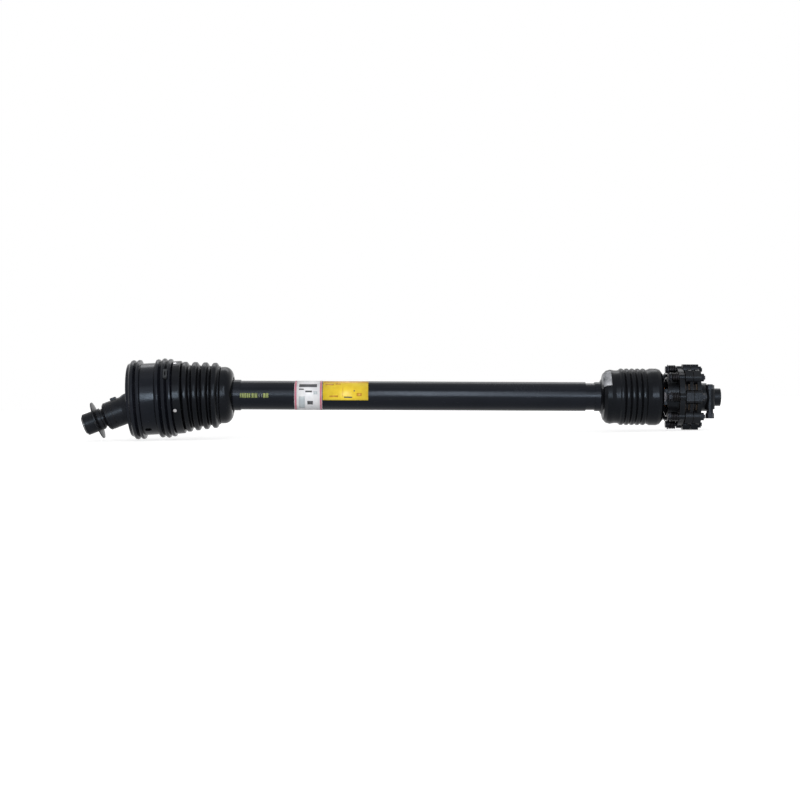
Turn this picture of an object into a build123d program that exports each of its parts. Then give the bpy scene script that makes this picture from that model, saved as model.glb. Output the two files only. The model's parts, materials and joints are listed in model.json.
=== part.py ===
from build123d import *
import os
from math import cos, radians, sin, sqrt

# A tractor drive shaft: a wide-angle joint with a quick-release yoke at the tractor end,
# two telescoping profile tubes, and a single joint with a friction clutch at the implement end,
# all inside a plastic guard. Millimetres. X runs along the tubes towards the implement, Z is up,
# and the origin is the middle of the open end of the implement hub.

# Splined bores, six-spline pattern for a 35 mm shaft
spline_minor_radius = 14.85
spline_major_radius = 17.4
spline_slot_width = 8.7
spline_count = 6

# Running and seating clearances
hinge_clearance = 0.05
slide_clearance = 0.3
seat_clearance = 0.02
soft_clearance = 0.4
cut_extra = 1.0
cut_reach = 20.0
root_overlap = 2.0

# Universal joints: crosses, bearing cups and circlips
trunnion_radius = 8.5
trunnion_reach = 33.0
cross_shoulder_radius = 12.0
cross_shoulder_reach = 22.0
cross_core_radius = 15.0
cup_radius = 13.5
cup_inner_end = 24.0
cup_length = 12.0
cup_bottom = 2.7
circlip_thickness = 1.2
circlip_radial_width = 2.2
circlip_gap_width = 8.0
groove_depth = 0.9
nipple_radius = 3.2
nipple_tip_radius = 2.0
nipple_length = 6.0
nipple_tip_length = 3.0
nipple_boss_radius = 4.5
nipple_boss_reach = 20.5

# Yoke forks
ear_radius = 19.0
ear_inner_face = 26.0
ear_outer_face = 38.0
fork_depth = 41.0
fork_base_thickness = 22.0
fork_shoulder_radius = 42.5
fork_root_radius = 35.0
fork_flare = 4.0
fork_base_tip = 8.0

# Wide-angle joint: two crosses, a centre body and a centring disc
cv_spacing = 92.0
yoke_droop = 21.0
cv_bridge_inner_radius = 28.0
cv_bridge_outer_radius = 34.0
cv_bridge_width = 15.0
cv_bridge_setback = 0.5
ball_reach = 37.0
ball_radius = 8.5
ball_neck_radius = 5.5
ball_neck_length = 10.0
ball_neck_inset = 3.0
seat_outer_radius = 16.0
seat_length = 20.0
seat_ball_clearance = 2.0
disc_radius = 47.0
disc_thickness = 12.0
disc_travel = 15.7
disc_end_gap = 1.0
cv_lip_thickness = 3.0
cv_lip_slope = 8.0
cv_gusset_length = 14.0
cv_gusset_inset = 2.0
cv_rim_half_width = 14.0
cv_rim_wall = 8.8
cv_arm_half_width = 19.0

# Tractor yoke with its pull collar
tractor_yoke_length = 169.5
tractor_bore_depth = 95.0
tractor_hub_radius = 22.0
tractor_neck_radius = 35.0
tractor_neck_length = 44.0
neck_start = 111.0
neck_groove_depth = 3.5
neck_groove_width = 2.5
neck_ring_width = 8.0
neck_second_ring_width = 11.2
neck_chamfer = 4.0
bore_chamfer = 2.0
lug_length = 15.0
lug_width = 14.0
lug_top = 40.0
lug_setback = 4.0
lug_fillet = 2.0
collar_radius = 27.0
collar_wall = 2.0
collar_edge = 0.8
collar_start = 166.0
collar_stop_gap = 3.0
collar_lip_length = 8.0
collar_flange_radius = 47.2
collar_flange_place = 133.6
collar_flange_base = 10.0
collar_flange_tip = 2.6
collar_travel = 7.0
lock_ball_radius = 3.6
lock_ball_inset = 4.5
lock_ball_count = 3
snap_ring_thickness = 1.5
snap_ring_height = 1.6
snap_ring_gap = 5.0
spring_wire_radius = 1.1
collar_spring_turns = 6

# Drive tubes: three-lobed profile tubes and their hubs
lobe_centre_radius = 15.0
outer_lobe_radius = 13.5
tube_wall = 4.0
tube_hub_radius = 32.0
cv_hub_length = 61.75
clutch_hub_side_length = 78.0
tube_insertion = 55.0
outer_tube_gap = 118.75
inner_tube_gap = 128.75
roll_pin_radius = 5.0
roll_pin_place = 40.0
roll_pin_wall = 2.0
roll_pin_slot = 1.5
roll_pin_inset = 0.5

# The whole shaft
joint_span = 1189.5

# Guard tubes
outer_guard_radius = 36.25
inner_guard_radius = 33.5
guard_wall = 2.4
guard_gap = 23.0
inner_guard_gap = 216.5
guard_collar_radius = 38.5
guard_collar_length = 20.0
guard_collar_flange = 4.0
guard_hub_overlap = 2.0
guard_ring_radius = 36.4
guard_ring_length = 13.5
bearing_width = 6.0
bearing_depth = 1.8
bearing_shell = 2.4
bearing_place = 12.0
bearing_split = 3.0

# Guard drum over the wide-angle joint
drum_droop = 3.5
drum_wall = 3.0
drum_lip_round = 4.0
rib_shoulder = 0.8
drum_ring_wall = 5.2
drum_band_rise = 11.6
drum_rim_rise = 13.5
drum_valley_rise = 14.6
drum_front = 88.6
drum_rib_width = 7.5
drum_tail_rise = 8.0
drum_tail_end = 36.0
drum_front_rib_a = -73.8
drum_front_rib_b = -58.8
drum_back_rib_a = -11.9
drum_back_rib_b = 3.8
drum_back_rib_c = 18.3
drum_front_rib_rise = 21.4
drum_back_rib_rise_a = 20.3
drum_back_rib_rise_b = 21.75
drum_back_rib_rise_c = 19.3
drum_web_thickness = 5.0
drum_ring_width = 9.0
access_hole_place = -41.0
access_hole_angle = 58.0
access_hole_radius = 6.5
access_hole_stretch = 4.0
lock_tab_length = 9.5
lock_tab_width = 27.0
lock_tab_height = 8.0
lock_tab_sink = 3.0
lock_tab_angle = 53.0
lock_tab_corner = 2.0
screw_head_radius = 4.2
screw_head_height = 2.4
screw_shank_radius = 2.0
screw_count = 4
screw_setback = 4.5
screw_angle = 21.0

# Large bellows between the drum and the guard tube
bellows_wall = 2.2
bellows_overlap = 9.0
bellows_cuff_length = 16.5
bellows_ridge_count = 4
bellows_first_ridge_radius = 86.5
bellows_last_ridge_radius = 80.6
bellows_fold_depth = 10.0
bellows_ridge_drop = 1.0
bellows_tail_length = 31.5
bellows_shoulder_length = 12.0
bellows_shoulder_radius = 68.5
bellows_shoulder_drop = 2.5
bellows_end_radius = 45.0
bellows_bend_power = 1.6
bellows_lean = 7.0

# Small bellows over the clutch-side joint
cone_wall = 2.2
cone_shoulder_radius = 68.0
cone_ridge_radius = 71.0
cone_valley_radius = 67.0
cone_first_valley_radius = 66.0
cone_rear_radius = 39.0
cone_mouth_radius = 52.5
cone_length = 155.0
cone_reach = 150.25
cone_rear_setback = 4.5
cone_rear_round = 20.5
cone_rear_rise = 22.0
cone_first_valley = 38.0
cone_first_ridge = 52.5
cone_ridge_pitch = 13.6
cone_ridge_count = 5
cone_rib_rise = 10.0
cone_mouth_round = 15.5
cone_valley_width = 6.0
cone_base_step = 12.0
cone_clip_thickness = 2.4
cone_clip_sweep = 40.0
cone_clip_angle = 116.0

# Friction clutch
clutch_bolt_count = 8
bolt_circle_radius = 68.0
clutch_plate_radius = 72.0
clutch_lobe_radius = 17.0
clutch_tip_radius = 81.5
lobe_gap = 1.5
skirt_length = 26.0
skirt_inner_radius = 46.0
skirt_base_radius = 52.5
skirt_tip_radius = 49.0
lobe_inner_radius = 63.0
yoke_lobe_radius = 9.5
yoke_flange_thickness = 13.0
yoke_reach = 41.0
yoke_keep_radius = 30.0
yoke_keep_gap = 3.0
lining_thickness = 3.2
lining_outer_radius = 61.5
lining_inner_radius = 47.0
hub_flange_thickness = 5.8
hub_flange_radius = 60.0
separator_thickness = 7.8
separator_bore = 44.0
drive_plate_thickness = 4.0
drive_plate_radius = 60.0
drive_tooth_width = 8.0
drive_tooth_height = 3.0
drive_tooth_overhang = 4.0
back_plate_thickness = 9.6
back_plate_bore = 38.0
clutch_bolt_radius = 5.0
bolt_head_size = 17.0
bolt_head_height = 5.0
bolt_head_turn = 30.0
nut_height = 8.0
bolt_tip = 3.0
washer_radius = 12.5
washer_thickness = 2.0
clutch_spring_length = 20.5
clutch_spring_radius = 9.6
clutch_spring_wire_radius = 2.1
clutch_spring_turns = 4
hub_shoulder_radius = 35.0
hub_shoulder_length = 19.0
hub_end_radius = 22.0
hub_end_length = 35.0
hub_bore_depth = 80.0
hub_spigot_radius = 20.0
bush_wall = 3.0
bush_inset = 3.0
spigot_inset = 2.0
back_plate_gap = 2.0
clamp_bolt_place = 29.0
clamp_bolt_offset = 26.0
clamp_bolt_radius = 7.0
clamp_bolt_top = 20.0
clamp_bolt_bottom = 41.0
clamp_stem_length = 11.0
clamp_stem_step = 1.5
clamp_thread_tip = 2.0
clamp_flange_step = 0.6
clamp_flange_height = 2.0
clamp_spot_step = 1.6
clamp_boss_radius = 12.0
clamp_head_size = 19.0
clamp_head_height = 12.0
clamp_nut_height = 10.0

# Places worked out from the sizes above
collar_end = neck_start + collar_travel + collar_stop_gap
cup_outer_end = cup_inner_end + cup_length
cv_tilt = yoke_droop / 2
back_plate_face = -(hub_end_length + hub_shoulder_length + back_plate_gap)
back_plate_inner = back_plate_face - back_plate_thickness
drive_plate_face = back_plate_inner - lining_thickness
drive_plate_inner = drive_plate_face - drive_plate_thickness
separator_face = drive_plate_inner - lining_thickness
separator_inner = separator_face - separator_thickness
hub_flange_face = separator_inner - lining_thickness
hub_flange_inner = hub_flange_face - hub_flange_thickness
yoke_flange_face = hub_flange_inner - lining_thickness
yoke_flange_inner = yoke_flange_face - yoke_flange_thickness
clutch_joint_x = yoke_flange_inner - yoke_reach
cv_inner_x = clutch_joint_x - joint_span
cv_body_place = Location((cv_inner_x, 0, 0), (0, -cv_tilt, 0)) * Pos(-cv_spacing / 2, 0, 0)
tractor_joint = cv_body_place * Pos(-cv_spacing / 2, 0, 0)
tractor_place = Location(tractor_joint.position, (0, -yoke_droop, 0))
drum_place = Location(cv_body_place.position, (0, -drum_droop, 0))
cv_place = Pos(cv_inner_x, 0, 0)
clutch_place = Pos(clutch_joint_x, 0, 0)
disc_rest = ball_reach * sin(radians(cv_tilt))
cavity_radius = disc_radius + disc_travel + disc_end_gap
cv_rim_radius = cavity_radius + cv_rim_wall
bearing_ring_radius = cv_rim_radius + slide_clearance
drum_ring_radius = bearing_ring_radius + drum_ring_wall
drum_band_radius = drum_ring_radius + drum_band_rise
drum_rim_radius = drum_ring_radius + drum_rim_rise
drum_valley_radius = drum_ring_radius + drum_valley_rise
drum_tail_radius = drum_ring_radius + drum_tail_rise
drum_front_rib_radius = drum_ring_radius + drum_front_rib_rise
drum_back_rib_radius_a = drum_ring_radius + drum_back_rib_rise_a
drum_back_rib_radius_b = drum_ring_radius + drum_back_rib_rise_b
drum_back_rib_radius_c = drum_ring_radius + drum_back_rib_rise_c
disc_gap = disc_thickness / 2 + slide_clearance
cv_lip_radius = sqrt(2) * disc_travel + seat_outer_radius + 2 * slide_clearance
seat_room = seat_length / 2 + 2 * slide_clearance
fork_base = fork_depth + fork_base_thickness
cv_hub_end = cv_inner_x + fork_base + cv_hub_length
clutch_side_hub_end = clutch_joint_x - fork_base - clutch_hub_side_length
outer_tube_start = cv_hub_end - tube_insertion
outer_tube_end = clutch_side_hub_end - outer_tube_gap
inner_tube_start = cv_hub_end + inner_tube_gap
inner_tube_end = clutch_side_hub_end + tube_insertion
guard_start = cv_hub_end - guard_hub_overlap
inner_guard_start = guard_start + inner_guard_gap
inner_guard_end = clutch_joint_x - cone_reach
outer_guard_end = inner_guard_end - guard_ring_length - guard_gap


def turned(points):
    """A turned solid about X from its outline of (x, radius) points."""
    return revolve(make_face(Polyline(*points, close=True)), Axis.X, 360)


def ring(start, end, inner, outer):
    """A plain ring about X."""
    return turned([(start, inner), (end, inner), (end, outer), (start, outer)])


def bar(start, end, radius):
    """A round bar about X."""
    return turned([(start, 0), (end, 0), (end, radius), (start, radius)])


def along_y(shape):
    """Turns a shape drawn about Z so that it lies about Y."""
    return Rot(90, 0, 0) * shape


def around_x(shape, count, start=0.0):
    """Copies of a shape spaced evenly about X."""
    return [Rot(start + 360 * turn / count, 0, 0) * shape for turn in range(count)]


def across_x(sketch, start, end):
    """A sketch drawn in YZ, extruded along X from start to end."""
    return Pos(start, 0, 0) * extrude(Plane.YZ * sketch, end - start)


def hexagon(size, height):
    """A hexagon prism about Z, size across its flats, standing on z = 0."""
    return extrude(RegularPolygon(size / 2, 6, major_radius=False), height)


def spline_bore(start, end):
    """The six-spline bore that is cut from a hub."""
    core = bar(start, end, spline_minor_radius)
    length = end - start
    slot = Pos((start + end) / 2, 0, spline_major_radius / 2) * Box(
        length, spline_slot_width, spline_major_radius
    )
    for one in around_x(slot, spline_count):
        core += one
    return core & bar(start, end, spline_major_radius)


def lobed(radius):
    """The three-lobed tube profile, its corners rounded to a radius."""
    corners = PolarLocations(lobe_centre_radius, 3, start_angle=90)
    circles = [place * Circle(radius) for place in corners]
    return make_hull([edge for circle in circles for edge in circle.edges()])


def lobed_plate(start, end, lobe_radius, bore, lobe_start):
    """A clutch plate with a round bore, and a lobe at each bolt that starts further back."""
    sketch = Circle(clutch_plate_radius)
    holes = clutch_bolt_radius + slide_clearance
    lobes = Sketch()
    flats = RegularPolygon(
        clutch_tip_radius, clutch_bolt_count, major_radius=False, rotation=180 / clutch_bolt_count
    )
    for place in PolarLocations(bolt_circle_radius, clutch_bolt_count):
        lobe = place * Circle(lobe_radius) & flats
        sketch += lobe
        lobes += lobe
    for place in PolarLocations(bolt_circle_radius, clutch_bolt_count):
        sketch -= place * Circle(holes)
        lobes -= place * Circle(holes)
    plate = across_x(sketch - Circle(bore), start, end)
    for lobe in across_x(lobes - Circle(lobe_inner_radius), lobe_start, end).solids():
        plate += lobe
    return plate


def pocket():
    """The space between a fork's ears, with a round bottom."""
    middle = fork_depth - ear_inner_face
    reach = middle + ear_radius + cut_extra
    width = 4 * ear_radius
    space = Pos(reach / 2 - middle, 0, 0) * Box(reach, width, 2 * ear_inner_face)
    return space + Pos(-middle, 0, 0) * along_y(Cylinder(ear_inner_face, width))


def cup_holes():
    """The two cup bores of a fork, with their circlip grooves."""
    bore = Cylinder(cup_radius + seat_clearance, 2 * (ear_outer_face + cut_extra))
    groove_top = cup_outer_end + circlip_thickness + 2 * seat_clearance
    groove = Cylinder(cup_radius + groove_depth, 2 * groove_top)
    land = Cylinder(cup_radius + groove_depth, 2 * cup_outer_end)
    return bore + (groove - land)


def fork(hub):
    """A yoke fork about the origin: ears up and down, open towards +X, joined to a hub."""
    plan = Pos(-fork_base / 2, 0) * Rectangle(fork_base, 2 * ear_radius) + Circle(ear_radius)
    ears = extrude(plan, ear_outer_face, both=True)
    outline = [
        (-fork_base, 0),
        (-fork_base, fork_root_radius),
        (-fork_depth, fork_shoulder_radius),
        (ear_radius, fork_shoulder_radius),
        (ear_radius, 0),
    ]
    base = turned(
        [
            (-fork_base, 0),
            (-fork_base, fork_root_radius),
            (-fork_depth - fork_flare, ear_outer_face),
            (-fork_depth + fork_base_tip, 0),
        ]
    )
    return (ears & turned(outline)) + base + hub - pocket() - cup_holes()


def ball_bridge():
    """The bridge past the cross that joins a wide-angle fork's ears and carries its ball."""
    arch = Cylinder(cv_bridge_outer_radius, cv_bridge_width)
    arch -= Cylinder(cv_bridge_inner_radius, cv_bridge_width)
    arch = along_y(arch)
    front = Pos(cv_bridge_outer_radius, 0, 0) * Box(
        2 * (cv_bridge_outer_radius - cup_radius - cv_bridge_setback),
        cv_bridge_width,
        3 * cv_bridge_outer_radius,
    )
    neck = Rot(0, 90, 0) * Cylinder(ball_neck_radius, ball_neck_length)
    neck = Pos(ball_reach - ball_neck_inset, 0, 0) * neck
    return (arch & front) + neck + Pos(ball_reach, 0, 0) * Sphere(ball_radius)


def cups():
    """The two bearing cups of one cross axis, about Z."""
    shell = Cylinder(cup_radius, cup_length) - Pos(0, 0, -cup_bottom) * Cylinder(
        trunnion_radius + hinge_clearance, cup_length
    )
    upper = Pos(0, 0, cup_inner_end + cup_length / 2) * shell
    return [upper, Rot(180, 0, 0) * upper]


def circlips():
    """The two circlips outside a pair of cups, about Z, each with a gap."""
    outer = cup_radius + groove_depth - seat_clearance
    clip = Cylinder(outer, circlip_thickness) - Cylinder(
        outer - circlip_radial_width, circlip_thickness
    )
    clip -= Pos(outer, 0, 0) * Box(2 * circlip_gap_width, circlip_gap_width, 2 * circlip_thickness)
    height = cup_outer_end + seat_clearance + circlip_thickness / 2
    return [Pos(0, 0, height) * clip, Pos(0, 0, -height) * clip]


def cross():
    """A cross with four trunnions along Z and Y."""
    arm = Cylinder(trunnion_radius, 2 * trunnion_reach)
    arm += Cylinder(cross_shoulder_radius, 2 * cross_shoulder_reach)
    boss = Pos(0, 0, nipple_boss_reach / 2) * Cylinder(nipple_boss_radius, nipple_boss_reach)
    return arm + along_y(arm) + Sphere(cross_core_radius) + Rot(135, 0, 0) * boss


def nipple():
    """A grease nipple on a cross, between two of its arms on the near side."""
    tip = Cylinder(nipple_tip_radius, nipple_tip_length)
    stem = Cylinder(nipple_radius, nipple_length)
    stem += Pos(0, 0, (nipple_length + nipple_tip_length) / 2) * tip
    lift = Pos(0, 0, nipple_boss_reach + nipple_length / 2)
    return Rot(135, 0, 0) * lift * stem


def helix_spring(length, radius, wire_radius, turns):
    """A coil spring about Z, standing on z = 0."""
    path = Helix(pitch=(length - 2 * wire_radius) / turns, height=length - 2 * wire_radius,
                 radius=radius)
    section = Plane(origin=path @ 0, z_dir=path % 0) * Circle(wire_radius)
    return Pos(0, 0, wire_radius) * sweep(section, path, is_frenet=True)


def write(name, shape, place=None):
    """Writes one node, from one solid or a list of them."""
    solids = shape if isinstance(shape, list) else [shape]
    if place is not None:
        solids = [place * one for one in solids]
    body = solids[0] if len(solids) == 1 else Compound(solids)
    if isinstance(body, (Sketch, Part)) and len(body.solids()) == 1:
        body = body.solids()[0]
    export_step(body, f"parts/{name}.step")


def joint_pieces(name, place, axis_turn):
    """Writes one yoke's pair of cups and circlips at a joint."""
    turn = place * Rot(axis_turn, 0, 0)
    write(f"{name}_bearing_cups", cups(), turn)
    write(f"{name}_circlips", circlips(), turn)


def cross_pieces(name, place):
    """Writes one cross and its grease nipple."""
    write(f"{name}_cross", cross(), place)
    write(f"{name}_grease_nipple", nipple(), place)


def tractor_yoke():
    """The splined tractor yoke, with its fork, bridge and ball at the origin end."""
    hub_face = -tractor_yoke_length
    neck = -neck_start
    root = neck + tractor_neck_length
    first_groove = neck + neck_ring_width
    second_groove = first_groove + neck_groove_width + neck_second_ring_width
    deep = tractor_neck_radius - neck_groove_depth
    outline = [
        (hub_face, 0),
        (hub_face, tractor_hub_radius),
        (neck, tractor_hub_radius),
        (neck, tractor_neck_radius - neck_chamfer),
        (neck + neck_chamfer, tractor_neck_radius),
        (first_groove, tractor_neck_radius),
        (first_groove, deep),
        (first_groove + neck_groove_width, deep),
        (first_groove + neck_groove_width, tractor_neck_radius),
        (second_groove, tractor_neck_radius),
        (second_groove, deep),
        (second_groove + neck_groove_width, deep),
        (second_groove + neck_groove_width, tractor_neck_radius),
        (root, tractor_neck_radius),
        (-fork_base, fork_root_radius),
        (-fork_base + root_overlap, 0),
    ]
    hub = turned(outline)
    lug_middle = root - lug_length / 2 - lug_setback
    lug = Pos(lug_middle, 0, lug_top / 2) * Box(lug_length, lug_width, lug_top)
    solid = fork(hub + fillet(lug.edges().group_by(Axis.Z)[-1], lug_fillet)) + ball_bridge()
    solid -= spline_bore(hub_face - cut_extra, hub_face + tractor_bore_depth)
    solid -= turned(
        [
            (hub_face - cut_extra, 0),
            (hub_face - cut_extra, spline_major_radius + bore_chamfer),
            (hub_face + bore_chamfer, spline_minor_radius),
            (hub_face + bore_chamfer, 0),
        ]
    )
    groove_start = -collar_start - snap_ring_thickness - 2 * seat_clearance
    solid -= ring(
        groove_start,
        -collar_start - seat_clearance / 2,
        tractor_hub_radius - snap_ring_height / 2,
        tractor_hub_radius + cut_extra,
    )
    pit = lock_ball_seat() * Cylinder(lock_ball_radius + seat_clearance, 3 * lock_ball_radius)
    for hole in around_x(pit, lock_ball_count, 90):
        solid -= hole
    return solid


def lock_ball_seat():
    """Where the first lock ball lies in the tractor hub, about its own axis."""
    height = tractor_hub_radius - lock_ball_radius
    return Pos(-collar_start + lock_ball_inset, 0, height)


def pull_collar():
    """The spring-loaded pull collar with its finger flange."""
    start = -collar_start
    end = -collar_end
    place = -collar_flange_place
    lip_bore = tractor_hub_radius + slide_clearance
    bore = collar_radius - collar_wall
    return turned(
        [
            (start, lip_bore),
            (start, collar_radius - collar_edge),
            (start + collar_edge, collar_radius),
            (place - collar_flange_base / 2, collar_radius),
            (place - collar_flange_tip / 2, collar_flange_radius),
            (place + collar_flange_tip / 2, collar_flange_radius),
            (place + collar_flange_base / 2, collar_radius),
            (end, collar_radius),
            (end, bore),
            (start + collar_lip_length, bore),
            (start + collar_lip_length, lip_bore),
        ]
    )


def collar_parts():
    """Writes the pull collar and what is under it."""
    write("release_collar", pull_collar(), tractor_place)
    start = -collar_start + collar_lip_length + slide_clearance
    spring_length = -neck_start - slide_clearance - start
    radius = (tractor_hub_radius + collar_radius - collar_wall) / 2
    coil = helix_spring(spring_length, radius, spring_wire_radius, collar_spring_turns)
    write("collar_spring", coil, tractor_place * Pos(start, 0, 0) * Rot(0, 90, 0))
    ball = lock_ball_seat() * Sphere(lock_ball_radius)
    write("lock_balls", around_x(ball, lock_ball_count, 90), tractor_place)
    snap_start = -collar_start - snap_ring_thickness - seat_clearance
    snap_inner = tractor_hub_radius - snap_ring_height / 2 + seat_clearance
    snap = ring(
        snap_start, snap_start + snap_ring_thickness, snap_inner, snap_inner + snap_ring_height
    )
    gap = Box(2 * snap_ring_gap, 2 * snap_ring_gap, snap_ring_gap)
    snap -= Pos(snap_start, tractor_hub_radius, 0) * gap
    write("collar_snap_ring", snap, tractor_place)


def cv_body():
    """The centre body of the wide-angle joint: a spherical rim, disc slot and four ears."""
    outer = 2 * cv_rim_radius
    rim = Sphere(cv_rim_radius) & Box(2 * cv_rim_half_width, outer, outer)
    lips = disc_gap + cv_lip_thickness
    hollow = cavity_radius - disc_end_gap
    hole = turned(
        [
            (-cv_rim_half_width - cut_extra, 0),
            (-cv_rim_half_width - cut_extra, hollow),
            (-lips, hollow - cv_lip_slope),
            (-lips, cv_lip_radius),
            (-disc_gap, cv_lip_radius),
            (-disc_gap, cavity_radius),
            (disc_gap, cavity_radius),
            (disc_gap, cv_lip_radius),
            (lips, cv_lip_radius),
            (lips, hollow - cv_lip_slope),
            (cv_rim_half_width + cut_extra, hollow),
            (cv_rim_half_width + cut_extra, 0),
        ]
    )
    body = rim - hole
    half = cv_spacing / 2
    reach = half - disc_gap
    plan = Pos(-reach / 2, 0) * Rectangle(reach, 2 * cv_arm_half_width) + Circle(ear_radius)
    ears = extrude(plan, ear_outer_face, both=True)
    ears -= Box(4 * ear_radius + 2 * reach, 4 * ear_radius, 2 * ear_inner_face)
    gusset = Pos(cv_gusset_length / 2 - reach, 0, 0) * Box(
        cv_gusset_length, 2 * cv_arm_half_width, 2 * (cavity_radius - cv_gusset_inset)
    )
    gusset -= Box(4 * reach, 4 * ear_radius, 2 * (ear_outer_face - cut_extra))
    ears = Rot(90, 0, 0) * (ears + gusset - cup_holes())
    body += Pos(half, 0, 0) * ears
    body += Pos(-half, 0, 0) * Rot(0, 0, 180) * ears
    return body - bar(-seat_room, seat_room, cv_lip_radius)


def centring_disc():
    """The disc that slides up and down in the centre body, slotted for the ball seat."""
    disc = bar(-disc_thickness / 2, disc_thickness / 2, disc_radius)
    wide = 2 * (seat_outer_radius + slide_clearance)
    travel = disc_travel + disc_end_gap
    through = disc_thickness + 2 * cut_extra
    slot = Box(through, 2 * travel, wide)
    for side in (-1, 1):
        slot += Pos(0, side * travel, 0) * Rot(0, 90, 0) * Cylinder(wide / 2, through)
    return Pos(0, 0, disc_rest) * (disc - slot)


def ball_seat():
    """The seat that slides sideways in the disc and holds both balls."""
    bore = ball_radius + seat_ball_clearance
    return Pos(0, 0, disc_rest) * ring(-seat_length / 2, seat_length / 2, bore, seat_outer_radius)


def wide_angle_joint():
    """Writes the wide-angle joint between the tractor yoke and the tube yoke."""
    write("tractor_yoke", tractor_yoke(), tractor_place)
    joint_pieces("tractor_yoke", tractor_place, 0)
    collar_parts()
    cross_pieces("outer", tractor_place)
    write("cv_body", cv_body(), cv_body_place)
    body_cups = []
    body_clips = []
    for side in (-1, 1):
        place = Pos(side * cv_spacing / 2, 0, 0) * Rot(90, 0, 0)
        body_cups += [place * one for one in cups()]
        body_clips += [place * one for one in circlips()]
    write("cv_body_bearing_cups", body_cups, cv_body_place)
    write("cv_body_circlips", body_clips, cv_body_place)
    write("centring_disc", centring_disc(), cv_body_place)
    write("ball_seat", ball_seat(), cv_body_place)
    cross_pieces("inner", cv_place)
    joint_pieces("tube_yoke", cv_place, 0)


def tube_hub(length, bearing):
    """A yoke hub of a given length behind a fork, with the guard bearing's groove."""
    end = -fork_base - length
    groove = bar(end + bearing, end + bearing + bearing_width, tube_hub_radius + cut_extra)
    groove -= bar(end, 0, tube_hub_radius - bearing_depth)
    return bar(end, -fork_base + root_overlap, tube_hub_radius) - groove


def tube_yoke(length, with_ball):
    """A yoke that holds a profile tube, about its own joint, open towards +X."""
    solid = fork(tube_hub(length, bearing_place))
    if with_ball:
        solid += ball_bridge()
    end = -fork_base - length
    return solid, end


def drive_tubes():
    """Writes the two profile tubes, their yokes and their roll pins."""
    flip = Rot(0, 0, 180)
    hole = Cylinder(roll_pin_radius + seat_clearance, 3 * tube_hub_radius)
    pin = Cylinder(roll_pin_radius, 2 * (tube_hub_radius - roll_pin_inset))
    pin -= Cylinder(roll_pin_radius - roll_pin_wall, 2 * tube_hub_radius)
    pin -= Pos(roll_pin_radius, 0, 0) * Box(roll_pin_radius, roll_pin_slot, 2 * tube_hub_radius)

    inner_radius = outer_lobe_radius - tube_wall - slide_clearance
    yoke, end = tube_yoke(cv_hub_length, True)
    bore = across_x(lobed(outer_lobe_radius + seat_clearance), end - cut_extra, end + tube_insertion)
    pin_place = Pos(end + roll_pin_place, 0, 0)
    yoke = cv_place * flip * (yoke - Rot(180, 0, 0) * bore - pin_place * hole)
    write("tube_yoke", yoke)
    profile = lobed(outer_lobe_radius) - lobed(outer_lobe_radius - tube_wall)
    tube = across_x(profile, outer_tube_start, outer_tube_end)
    outer_pin_x = cv_hub_end - roll_pin_place
    flipped = Rot(180, 0, 0)
    write("outer_profile_tube", flipped * tube - Pos(outer_pin_x, 0, 0) * hole)
    write("outer_roll_pin", Pos(outer_pin_x, 0, 0) * pin)

    yoke, end = tube_yoke(clutch_hub_side_length, False)
    bore = across_x(lobed(inner_radius + seat_clearance), end - cut_extra, end + tube_insertion)
    pin_place = Pos(end + roll_pin_place, 0, 0)
    yoke = clutch_place * (yoke - flipped * bore - pin_place * hole)
    write("clutch_side_yoke", yoke)
    profile = lobed(inner_radius) - lobed(inner_radius - tube_wall)
    tube = across_x(profile, inner_tube_start, inner_tube_end)
    inner_pin_x = clutch_side_hub_end + roll_pin_place
    write("inner_profile_tube", flipped * tube - Pos(inner_pin_x, 0, 0) * hole)
    write("inner_roll_pin", Pos(inner_pin_x, 0, 0) * pin)


def guard_bearing(place, outer):
    """A split nylon bearing ring in a hub's groove."""
    inner = tube_hub_radius - bearing_depth + slide_clearance
    start = place + slide_clearance
    shell = ring(start, place + bearing_width - slide_clearance, inner, outer)
    return shell - Pos(place, 0, outer) * Box(4 * bearing_width, bearing_split, outer)


def guard_tubes():
    """Writes the two guard tubes, their collars and their bearing rings."""
    tube = ring(
        guard_start + guard_collar_length / 2,
        outer_guard_end,
        outer_guard_radius - guard_wall,
        outer_guard_radius,
    )
    write("outer_guard_tube", tube)
    bearing_x = cv_hub_end - bearing_place - bearing_width
    seat = outer_guard_radius + seat_clearance
    bearing_outer = tube_hub_radius + bearing_shell
    flange_start = bearing_x + slide_clearance
    collar = turned(
        [
            (flange_start, bearing_outer + seat_clearance),
            (flange_start, guard_collar_radius + guard_collar_flange),
            (guard_start, guard_collar_radius + guard_collar_flange),
            (guard_start, guard_collar_radius),
            (guard_start + guard_collar_length, guard_collar_radius),
            (guard_start + guard_collar_length, seat),
            (guard_start + guard_collar_length / 2 - seat_clearance, seat),
            (guard_start + guard_collar_length / 2 - seat_clearance, bearing_outer + seat_clearance),
        ]
    )
    write("outer_guard_collar", collar)
    write("outer_guard_bearing", guard_bearing(bearing_x, bearing_outer))

    bore = inner_guard_radius - guard_wall
    tube = ring(inner_guard_start, inner_guard_end, bore, inner_guard_radius)
    write("inner_guard_tube", tube)
    stop = ring(
        inner_guard_end - guard_ring_length,
        inner_guard_end,
        inner_guard_radius + seat_clearance,
        guard_ring_radius,
    )
    write("inner_guard_ring", stop)
    write("inner_guard_bearing", guard_bearing(clutch_side_hub_end + bearing_place, bearing_outer))


def corrugations(ribs, width, valley):
    """Outline points over round ribs given as (place, radius), between valleys."""
    points = [(ribs[0][0] - width / 2, valley)]
    for place, radius in ribs:
        rise = radius - valley
        points += [
            (place - width / 4, valley + rib_shoulder * rise),
            (place, radius),
            (place + width / 4, valley + rib_shoulder * rise),
            (place + width / 2, valley),
        ]
    return points


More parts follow.
